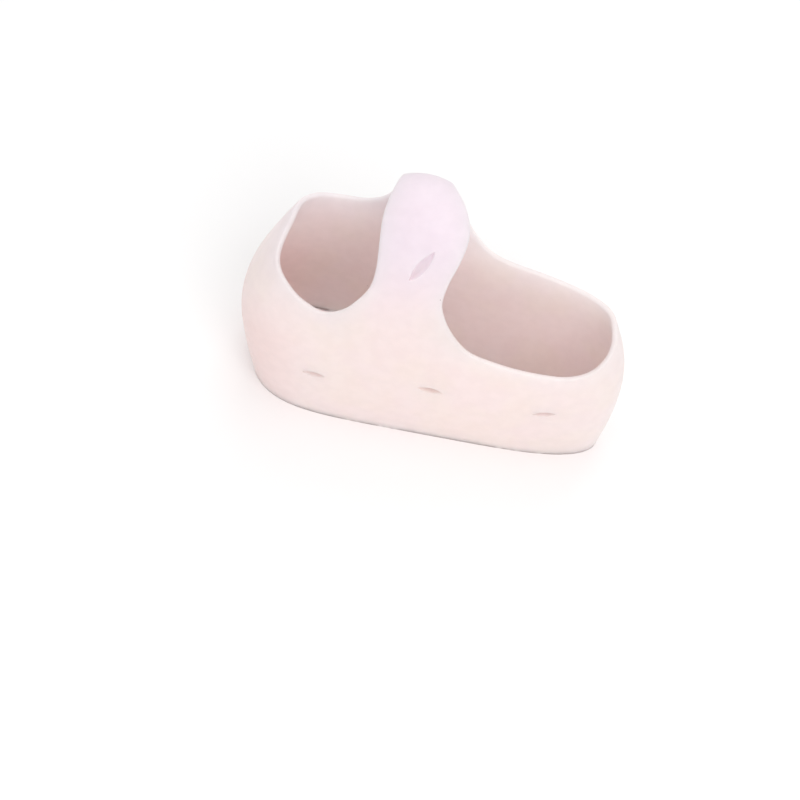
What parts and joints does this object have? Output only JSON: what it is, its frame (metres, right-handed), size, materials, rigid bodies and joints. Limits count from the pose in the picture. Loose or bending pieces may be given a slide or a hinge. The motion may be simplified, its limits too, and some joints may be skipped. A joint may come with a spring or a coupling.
{
  "type": "toe separator",
  "caption": "Soft gel sleeve for the ball of the foot, with a strap that passes between two toes and vent slits in its pad.",
  "frame": {"origin": "centre of the bounding box's bottom, on the plane of the sleeve's lower rim", "axes": "+Z from the lower rim towards the toes, +X towards the little toe's side, -Y out of the sole"},
  "size_m": [0.0956, 0.0384, 0.0708],
  "materials": {
    "gel": "milky translucent moulded gel, satin"
  },
  "bodies": {
    "root": {"gel_sleeve": "gel"}
  },
  "joints": []
}
